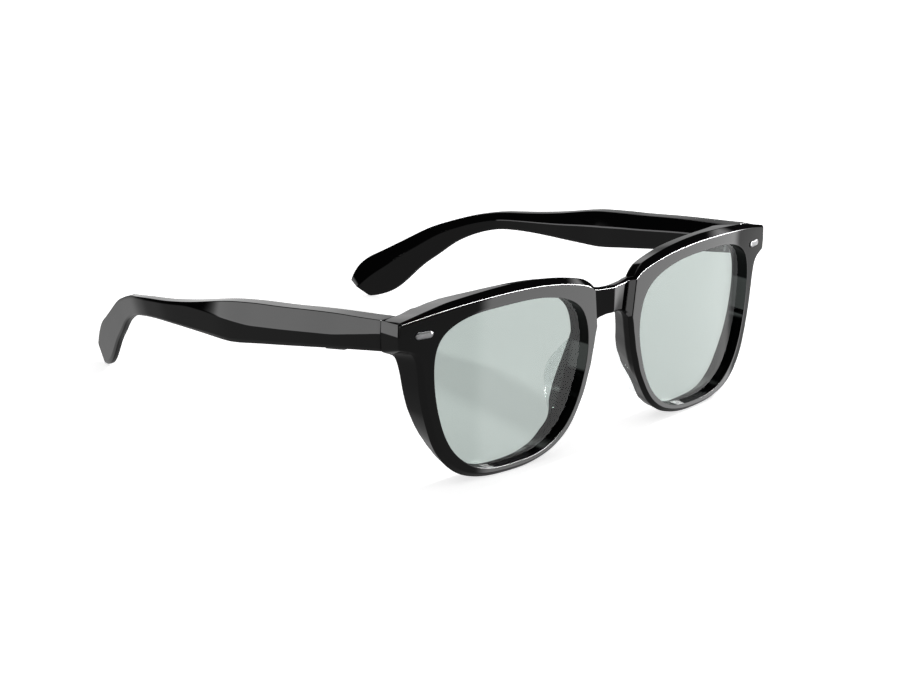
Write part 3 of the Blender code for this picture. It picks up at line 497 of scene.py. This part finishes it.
def ring_section(i):
    """Closed section of one rim: face, outer walls, rear face, inner wall."""
    a, o, n, bevel = RIM_IN[i], RIM_OUT[i], OUT_NORMAL[i], RIM_BEVEL[i]
    full = o + n * bevel
    nose = smooth((i - NOSE_FROM) / 16)
    depth = blend(outer_depth(i), table(NOSE_DEPTH, o[1]), nose)
    slope = table(BROW_SLOPE, o[0]) * top_weight(n)
    chamfer = ENDPIECE_CHAMFER if BROW_END <= i < ENDPIECE_END else CHAMFER
    wall = blend(depth - chamfer, NOSE_WALL, nose)
    rear = full - n * slope * (wall - bevel) + wall_lean(i)
    back = rear - n * blend(chamfer, table(NOSE_SLOPE, o[1]), nose)
    inner_depth = opening_depth(a)
    face = [at_depth(blend(a, o, f), 0.0) for f in np.linspace(0, 1, FACE_STEPS + 1)]
    fs = np.linspace(0, 1, REAR_STEPS + 1)
    hind = [at_depth(blend(back, a, f), blend(depth, inner_depth, f)) for f in fs]
    run = chain([face[-2], face[-1], at_depth(full, bevel), at_depth(rear, wall), hind[0], hind[1]])
    return (arc(hind[-1], face[0], face[1], 0.12, 2) + face[1:-1] + run + hind[1:-1]
            + arc(hind[-2], hind[-1], face[0], 0.3, 3))


FACE_END = 3 + FACE_STEPS - 1
REAR_START = FACE_END + 14
SECTION = REAR_START + 1 + REAR_STEPS - 1 + 4


def seam_section(m, low, high):
    """Section on the side of the bridge, share m up from section low to section high."""
    i = SEAM_FROM + int(round(m * (RIM_COUNT - SEAM_FROM)))
    a = RIM_IN[i]
    edge = blend(low[FACE_END], high[FACE_END], m)
    edge[1] = front_y(edge[0])
    rear = blend(low[REAR_START], high[REAR_START], m)
    o = np.array((edge[0], edge[2]))
    inner_depth = opening_depth(a)
    face = [at_depth(blend(a, o, f), 0.0) for f in np.linspace(0, 1, FACE_STEPS + 1)]
    hind = [blend(rear, at_depth(a, inner_depth), f) for f in np.linspace(0, 1, REAR_STEPS + 1)]
    return (arc(hind[-1], face[0], face[1], 0.12, 2) + face[1:] + [face[-1]] * 13 + hind[:-1]
            + arc(hind[-2], hind[-1], face[0], 0.3, 3))


# (share of the half width, depth): step at the rim, recess, ridge in the middle
BRIDGE_COLUMNS = ((0.988, 0.035), (0.972, 0.2), (0.91, 0.8), (0.85, 1.38), (0.838, 1.49), (0.828, 1.54),
                  (0.812, 1.56), (0.6, 1.265), (0.3, 0.85), (0.02, 0.462), (0.0, 0.452))


def outline_point(points, x):
    """Height and upward normal of a bridge outline at x."""
    fine = spline(points, 200)
    z = float(np.interp(x, fine[:, 0], fine[:, 1]))
    z0 = float(np.interp(max(x - 0.2, 0), fine[:, 0], fine[:, 1]))
    z1 = float(np.interp(x + 0.2, fine[:, 0], fine[:, 1]))
    run = (x + 0.2) - max(x - 0.2, 0)
    if x == 0:
        return z, np.array((0.0, 1.0))
    n = np.array((-(z1 - z0) / run, 1.0))
    return z, n / np.linalg.norm(n)


def bridge_column(u, depth, count):
    """Closed section across the bridge: face upwards, over the top, rear downwards, under."""
    xt, xb = BRIDGE_TOP[-1][0] * u, BRIDGE_LOW[-1][0] * u
    zt, nt = outline_point(BRIDGE_TOP, xt)
    zb, nb = outline_point(BRIDGE_LOW, xb)
    nb = -nb
    top, low = np.array((xt, zt)), np.array((xb, zb))
    bt, bb = blend(0.5, 0.8, u**3), blend(0.4, 0.9, u**4)
    dt = blend(BRIDGE_DEPTH, 4.6, u)
    db = blend(BRIDGE_DEPTH, SIDE_DEPTH, smooth(u))
    wall_b = blend(BRIDGE_DEPTH - 0.7, NOSE_WALL, u**2)
    ft, fb = top + nt * bt, low + nb * bb
    rt = ft - nt * 0.27 * (dt - 0.7 - depth - bt)
    kt, kb = rt - nt * 0.7, fb - nb * blend(0.7, 1.8, u**2)
    face_mid = at_depth(blend(low, top, 0.5), depth)
    rear_mid = at_depth(blend(kb, kt, 0.5), 0.5 * (dt + db))
    up = chain([face_mid, at_depth(top, depth), at_depth(ft, depth + bt), at_depth(rt, dt - 0.7),
                at_depth(kt, dt), rear_mid])
    down = chain([face_mid, at_depth(low, depth), at_depth(fb, depth + bb), at_depth(fb, wall_b),
                  at_depth(kb, db), rear_mid])
    fs = np.linspace(0, 1, count + 1)[1:-1]
    face = []
    for f in fs:
        p = blend(down[0], up[0], f)
        p[1] = front_y(p[0]) + depth
        face.append(p)
    rear = [blend(up[-1], down[-1], f) for f in fs]
    return [down[0]] + face + up + rear + down[::-1][:-1]


def front_shell():
    """The whole front in one closed surface: two rims and the bridge between them."""
    count = RIM_COUNT - SEAM_FROM
    sections = [ring_section(i) for i in range(SEAM_FROM + 1)]
    low, high = sections[SEAM_FROM], sections[0]
    sections += [seam_section(m / count, low, high) for m in range(1, count)]
    verts, faces = [], []
    for sign in (1, -1):
        base = len(verts)
        for section in sections:
            verts.extend((sign * p[0], p[1], p[2]) for p in section)
        for i in range(RIM_COUNT):
            j = (i + 1) % RIM_COUNT
            for k in range(SECTION):
                if i >= SEAM_FROM and FACE_END <= k < REAR_START:
                    continue
                m = (k + 1) % SECTION
                faces.append([base + q for q in (i * SECTION + k, j * SECTION + k,
                                                 j * SECTION + m, i * SECTION + m)])
    rims = RIM_COUNT * SECTION
    seam = [SEAM_FROM + m for m in range(count)] + [0]
    ring = [i * SECTION + FACE_END for i in seam]
    ring += [k for k in range(FACE_END + 1, REAR_START)]
    ring += [i * SECTION + REAR_START for i in seam[::-1]]
    ring += [SEAM_FROM * SECTION + k for k in range(REAR_START - 1, FACE_END, -1)]
    columns = [bridge_column(u, depth, count) for u, depth in BRIDGE_COLUMNS]
    size = len(columns[0])
    for base, sign in ((0, 1), (rims, -1)):
        previous = [base + q for q in ring]
        for column in columns:
            here = list(range(len(verts), len(verts) + size))
            verts.extend((sign * p[0], p[1], p[2]) for p in column)
            for k in range(size):
                m = (k + 1) % size
                faces.append([previous[k], previous[m], here[m], here[k]])
            previous = here
    return mesh_object("front_shell", verts, faces, BLACK)


front = front_shell()
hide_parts("front_frame", "rear_frame")
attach(front, "front")

# ---------------------------------------------------------------- temples


def outer_x(y):
    return smooth_table(OUTER_X, y, 5.0)


TEMPLE_STEPS = 110
tops = spline([s[:2] for s in STATIONS], 40 * len(STATIONS))
lows = spline([s[2:] for s in STATIONS], 40 * len(STATIONS))


def temple_rows():
    """Matched top and bottom outline points, spaced as the stations are."""
    ks = np.linspace(0, len(STATIONS) - 1, TEMPLE_STEPS)
    at_top = [nearest(tops, s[:2]) for s in STATIONS]
    at_low = [nearest(lows, s[2:]) for s in STATIONS]
    idx = range(len(STATIONS))
    rows = []
    for k in ks:
        i = np.interp(k, idx, at_top)
        j = np.interp(k, idx, at_low)
        full = np.arange(len(tops))
        top = np.array([np.interp(i, full, tops[:, c]) for c in (0, 1)])
        low = np.array([np.interp(j, full, lows[:, c]) for c in (0, 1)])
        rows.append((top, low))
    return rows


def temple_section(top, low, shrink=0.0):
    """Rounded eight-sided section across the temple, pulled in all round by shrink."""
    mid = 0.5 * (top[0] + low[0])
    crease = smooth_table(CREASE, mid, 3.0)
    thick = smooth_table(THICK, mid, 5.0)
    top_inset = table(OUTER_TILT, mid) * crease * (top[1] - low[1])
    low_inset = table(OUTER_LOW_INSET, mid)
    corners = []
    for f, lateral in (
        (0.0, top_inset), (crease, 0.0),
        (0.9, 0.55 * low_inset), (1.0, low_inset + 0.2),
        (1.0, thick - INNER_LOW_INSET - 0.4), (0.92, thick - INNER_LOW_INSET),
        (INNER_CREASE, thick), (0.0, thick - INNER_TOP_INSET),
    ):
        y, z = blend(top, low, f)
        corners.append((outer_x(y) - lateral, y, z))
    if shrink:
        centre = np.mean(corners, axis=0)
        arms = [np.array(c) - centre for c in corners]
        corners = [centre + arm * (1 - shrink / max(np.linalg.norm(arm), 1e-6)) for arm in arms]
    setbacks = (0.2, 0.35, 0.25, 0.3, 0.3, 0.3, 0.3, 0.25)
    return rounded(corners, setbacks, (3, 2, 2, 2, 2, 2, 2, 3))


def temple(side, sign):
    """Outer body of one temple, its two ends slightly rounded off."""
    rows = temple_rows()
    sections = [temple_section(*row) for row in rows]
    step = sections[-1][0] - sections[-2][0]
    past_tip = step / np.linalg.norm(step) * 0.12
    hinge_end = [p - np.array((0, 0.22, 0)) for p in temple_section(*rows[0], shrink=0.15)]
    tip_end = [p + past_tip for p in temple_section(*rows[-1], shrink=0.3)]
    sections[0] = [p - np.array((0, 0.10, 0)) for p in sections[0]]
    sections = [hinge_end] + sections + [tip_end]
    obj = loft(side + "_temple", sections, BLACK, sign)
    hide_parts(side + "_temple_shell", side + "_temple_cover")
    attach(obj, side + "_temple")


# ---------------------------------------------------------------- lenses
def lens(side, sign):
    """Curved sheet that fills the opening, its rim hidden in the groove of the frame."""
    rim = RIM_IN + IN_NORMAL * 0.3
    rings = np.linspace(1.0, 0.0, 15)[:-1]
    centre = np.array((36.0, -5.0))
    verts, faces = [], []
    for depth in (LENS_SEAT, LENS_SEAT + LENS_THICK):
        for scale in rings:
            for p in rim:
                q = centre + (p - centre) * scale
                verts.append((q[0], front_y(q[0]) + depth, q[1]))
        verts.append((centre[0], front_y(centre[0]) + depth, centre[1]))
    layer = len(rings) * RIM_COUNT + 1
    for s in (0, 1):
        for r in range(len(rings) - 1):
            for i in range(RIM_COUNT):
                j = (i + 1) % RIM_COUNT
                a, b = s * layer + r * RIM_COUNT, s * layer + (r + 1) * RIM_COUNT
                faces.append([a + i, a + j, b + j, b + i])
        last = s * layer + (len(rings) - 1) * RIM_COUNT
        middle = (s + 1) * layer - 1
        faces.extend([last + i, last + (i + 1) % RIM_COUNT, middle] for i in range(RIM_COUNT))
    for i in range(RIM_COUNT):
        j = (i + 1) % RIM_COUNT
        faces.append([i, j, layer + j, layer + i])
    obj = mesh_object(side + "_lens_clear", verts, faces, LENS, sign, math.radians(40))
    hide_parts(side + "_lens")
    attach(obj, "front")


CORE_HALF_THICK, CORE_HALF_HIGH = 0.4, 0.9


def core_wire(side, sign):
    """Flat steel core along the middle of the temple, from the hinge side to the tip."""
    rows = temple_rows()
    sections = []
    for top, low in rows[8:-6:4]:
        mid = np.mean(temple_section(top, low), axis=0)
        sections.append([mid + np.array((x * CORE_HALF_THICK, 0.0, z * CORE_HALF_HIGH))
                         for x, z in ((-1, -1), (1, -1), (1, 1), (-1, 1))])
    obj = loft(side + "_core", sections, STEEL, sign, math.radians(30))
    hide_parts(side + "_core_wire")
    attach(obj, side + "_temple")


# Nose pad: base on the rear of the rim, free edge towards the nose and the wearer
PAD_BASE = ((9.9, 6.0, 0.3), (10.3, 6.1, -2.2), (11.1, 6.2, -5.0), (11.9, 6.3, -8.0), (12.9, 6.3, -11.5),
            (14.0, 6.3, -14.5), (15.3, 6.3, -17.0), (16.8, 6.2, -19.2), (18.2, 6.1, -21.0))
PAD_EDGE = ((10.2, 6.5, -0.1), (11.6, 7.9, -2.4), (12.9, 9.6, -5.0), (13.8, 10.8, -7.6),
            (14.2, 11.4, -11.2),
            (14.2, 11.0, -14.4), (14.8, 10.0, -17.0), (15.2, 8.6, -19.2), (17.0, 6.6, -21.2))
PAD_ROUND, PAD_HALF_BASE = 0.35, 0.5


def nose_pad(side, sign):
    """Clear fin behind the nose side of a rim, with a rounded free edge."""
    base, edge = spline(PAD_BASE, 33), spline(PAD_EDGE, 33)
    sections = []
    for b, e in zip(base, edge):
        out = (e - b) / max(np.linalg.norm(e - b), 1e-6)
        across = np.array((out[1], -out[0], 0.0))
        across /= max(np.linalg.norm(across), 1e-6)
        round_off = [e + out * PAD_ROUND * math.cos(t) + across * PAD_ROUND * math.sin(t)
                     for t in np.linspace(-math.pi / 2, math.pi / 2, 7)]
        sections.append([b + across * PAD_HALF_BASE] + round_off[::-1] + [b - across * PAD_HALF_BASE])
    obj = loft(side + "_pad_clear", sections, CLEAR, sign, math.radians(60))
    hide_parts(side + "_nose_pad")
    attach(obj, "front")


# Speaker grille on the underside of the temple: rails and bars, in part-frame millimetres
GRILLE_FROM, GRILLE_TO, GRILLE_BARS = 74.6, 84.0, 10
GRILLE_BAR, GRILLE_PROUD, GRILLE_SUNK = 0.45, 0.06, 0.4
GRILLE_RAIL = 0.17  # share of the plate's width that each rail takes


def speaker_grille(side, sign):
    """Slotted plate set into the underside of the temple below the speaker."""
    def corners(y):
        z = float(np.interp(y, lows[:, 0], lows[:, 1]))
        near = outer_x(y) - table(OUTER_LOW_INSET, y) - 0.55
        far = outer_x(y) - smooth_table(THICK, y, 5.0) + INNER_LOW_INSET + 0.75
        return near, far, z

    verts, faces = [], []

    def box(y0, y1, side0, side1):
        base = len(verts)
        for y in (y0, y1):
            near, far, z = corners(y)
            for x in (blend(near, far, side0), blend(near, far, side1)):
                verts.extend(((x, y, z - GRILLE_PROUD), (x, y, z + GRILLE_SUNK)))
        faces.extend([base + q for q in face] for face in
                     ((0, 1, 3, 2), (4, 6, 7, 5), (0, 4, 5, 1), (2, 3, 7, 6), (0, 2, 6, 4), (1, 5, 7, 3)))

    step = (GRILLE_TO - GRILLE_FROM - GRILLE_BAR) / (GRILLE_BARS - 1)
    for k in range(GRILLE_BARS):
        start = GRILLE_FROM + k * step
        box(start, start + GRILLE_BAR, GRILLE_RAIL, 1 - GRILLE_RAIL)
    box(GRILLE_FROM, GRILLE_TO, 0.0, GRILLE_RAIL)
    box(GRILLE_FROM, GRILLE_TO, 1 - GRILLE_RAIL, 1.0)
    obj = mesh_object(side + "_grille", verts, faces, MODULE, sign, math.radians(30))
    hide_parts(side + "_speaker_grille")
    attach(obj, side + "_temple")


for side, sign in (("left", 1), ("right", -1)):
    temple(side, sign)
    speaker_grille(side, sign)
    lens(side, sign)
    core_wire(side, sign)
    nose_pad(side, sign)

# ---------------------------------------------------------------- CAD pieces that stay, with their finishes
FINISHES = (("nose_pad", CLEAR), ("rivet", SILVER), ("hinge", STEEL), ("core_wire", STEEL),
            ("contact", GOLD), ("flex", FLEX), ("touch_sensor", FLEX), ("main_board", BOARD),
            ("battery", FOIL), ("speaker", MODULE), ("microphone", MODULE), ("button", MODULE),
            ("switch", MODULE), ("lens", LENS), ("frame", BLACK), ("temple", BLACK))
for name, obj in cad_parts.items():
    finish = next(mat for key, mat in FINISHES if key in name)
    for k in range(len(obj.material_slots)):
        obj.material_slots[k].material = finish

# ---------------------------------------------------------------- camera
CAMERA_AT = (-432.167, -365.326, 173.139)
CAMERA_AZ, CAMERA_EL, CAMERA_ROLL = -0.79413, 0.3052, 0.01556
# Lens in mm on a 36 mm sensor, and its shift as a fraction of the picture's width
SENSOR, FOCAL_LENGTH = 36.0, 87.717592
SHIFT_X, SHIFT_Y = 0.0081984816, -0.0015281996


def camera():
    """Camera at the photograph's place; all its numbers were fitted to outlines in the photograph."""
    back = Vector((math.sin(CAMERA_AZ) * math.cos(CAMERA_EL), -math.cos(CAMERA_AZ) * math.cos(CAMERA_EL),
                   math.sin(CAMERA_EL)))
    right = Vector((math.cos(CAMERA_AZ), math.sin(CAMERA_AZ), 0.0))
    up = back.cross(right)
    c, s = math.cos(CAMERA_ROLL), math.sin(CAMERA_ROLL)
    turned = Matrix((right * c + up * s, up * c - right * s, back)).transposed()
    tilt = Matrix.Rotation(REST_PITCH, 3, "X")
    data = bpy.data.cameras.new("camera")
    data.sensor_width = SENSOR
    data.lens = FOCAL_LENGTH
    data.shift_x = SHIFT_X
    data.shift_y = SHIFT_Y
    data.clip_start = 0.01
    cam = bpy.data.objects.new("camera", data)
    bpy.context.scene.collection.objects.link(cam)
    cam.matrix_world = Matrix.Translation(place(*CAMERA_AT)) @ (tilt @ turned).to_4x4()
    bpy.context.scene.camera = cam


camera()

# ---------------------------------------------------------------- floor and light
floor_mat, floor_shader = plain("pale_floor", (0.86, 0.86, 0.86), 0.9, 0.0, 0.02, 3.0)
# Floor that curves up into a round wall: (radius, height)
FLOOR_PROFILE = ((0.6, 0), (3.6, 0), (4.2, 0.1), (4.7, 0.45), (5.0, 1.0), (5.1, 4.5))
FLOOR_SEGMENTS = 64
FLOOR_GLOW = 0.77
bm = bmesh.new()
rings = [[bm.verts.new((r * math.cos(t), r * math.sin(t), z)) for t in
          (2 * math.pi * k / FLOOR_SEGMENTS for k in range(FLOOR_SEGMENTS))] for r, z in FLOOR_PROFILE]
bm.faces.new(rings[0])
for inner, outer in zip(rings, rings[1:]):
    for k in range(FLOOR_SEGMENTS):
        m = (k + 1) % FLOOR_SEGMENTS
        bm.faces.new((inner[k], outer[k], outer[m], inner[m])).smooth = True
floor_shader.inputs["Emission Color"].default_value = (1, 1, 1, 1)
floor_shader.inputs["Emission Strength"].default_value = FLOOR_GLOW
floor_mesh = bpy.data.meshes.new("floor")
bm.to_mesh(floor_mesh)
bm.free()
floor_mesh.materials.append(floor_mat)
floor = bpy.data.objects.new("floor", floor_mesh)
bpy.context.scene.collection.objects.link(floor)
floor.visible_glossy = False
floor.visible_diffuse = False


def area_light(name, azimuth, elevation, distance, size, power):
    """Square softbox that looks at the glasses; it lights them without showing in their gloss."""
    data = bpy.data.lights.new(name, "AREA")
    data.size = size
    data.energy = power
    lamp = bpy.data.objects.new(name, data)
    bpy.context.scene.collection.objects.link(lamp)
    a, e = math.radians(azimuth), math.radians(elevation)
    away = Vector((math.sin(a) * math.cos(e), -math.cos(a) * math.cos(e), math.sin(e)))
    lamp.location = away * distance
    lamp.rotation_euler = away.to_track_quat("Z", "Y").to_euler()
    lamp.visible_glossy = False


area_light("overhead_softbox", 0, 90, 1.8, 4.5, 36)
area_light("side_softbox", 90, 29, 1.6, 0.07, 13)

# What the gloss mirrors: (azimuth from the front towards +X, elevation, soft edges, brightness)
STUDIO = (
    ((-180, 180), (-90, -14), (1, 5), 0.24),
    ((33, 71), (-24, 29), (1.5, 2), 2.6),
    ((71, 84), (2, 29), (2, 2), 2.2),
    ((71, 100), (-24, 2), (2, 3), 0.5),
    ((-5, 70), (4, 12), (8, 1), 140.0),
    ((-60, -34), (-12, 4), (2, 3), 1.8),
    ((-142, -117), (-15, 5.5), (2, 1), 2.5),
    ((150, 172), (34, 50), (4, 4), 1.6),
    ((138, 156), (-8, 24), (3, 3), 0.9),
    ((152, 180), (-40, -8), (6, 3), 0.25),
    ((-180, -158), (-40, -8), (6, 3), 0.25),
    ((124, 138), (-8, 8), (3, 3), 0.35),
    ((-180, 180), (68, 90), (1, 6), 1.2),
)
ROOM_LEVEL = 0.01


def studio_world():
    """World seen only in reflections: a dim room with the patches of STUDIO in it."""
    world = bpy.data.worlds.new("studio")
    world.use_nodes = True
    tree = world.node_tree

    def maths(operation, a, b=None):
        """Output of a math node fed with numbers or other outputs."""
        node = tree.nodes.new("ShaderNodeMath")
        node.operation = operation
        for socket, value in zip(node.inputs, (a, b)):
            if isinstance(value, (int, float)):
                socket.default_value = value
            elif value is not None:
                tree.links.new(value, socket)
        return node.outputs[0]

    def window(value, bounds, soft, level):
        """The level, let through where the angle lies between the bounds; 90 and 180 are open ends."""
        low, high = bounds
        product = level
        for sign, edge in ((1, low), (-1, high)):
            if abs(edge) in (90, 180):
                continue
            step = tree.nodes.new("ShaderNodeMapRange")
            step.interpolation_type = "SMOOTHSTEP"
            step.inputs["From Min"].default_value = edge - sign * soft
            step.inputs["From Max"].default_value = edge + sign * soft
            tree.links.new(value, step.inputs["Value"])
            product = maths("MULTIPLY", step.outputs["Result"], product)
        return product

    coords = tree.nodes.new("ShaderNodeTexCoord")
    axes = tree.nodes.new("ShaderNodeSeparateXYZ")
    tree.links.new(coords.outputs["Generated"], axes.inputs[0])
    degrees = 180 / math.pi
    ahead = maths("MULTIPLY", axes.outputs["Y"], -1.0)
    azimuth = maths("MULTIPLY", maths("ARCTAN2", axes.outputs["X"], ahead), degrees)
    elevation = maths("MULTIPLY", maths("ARCSINE", axes.outputs["Z"]), degrees)
    total = ROOM_LEVEL
    for across, upward, soft, level in STUDIO:
        patch = window(elevation, upward, soft[1], window(azimuth, across, soft[0], level))
        total = maths("ADD", patch, total)
    background = tree.nodes["Background"]
    background.inputs["Color"].default_value = (1, 1, 1, 1)
    tree.links.new(total, background.inputs["Strength"])
    return world


scene = bpy.context.scene
scene.view_settings.view_transform = "Standard"
scene.world = studio_world()
scene.world.cycles_visibility.diffuse = False
scene.world.cycles.sampling_method = "MANUAL"
scene.world.cycles.sample_map_resolution = 256
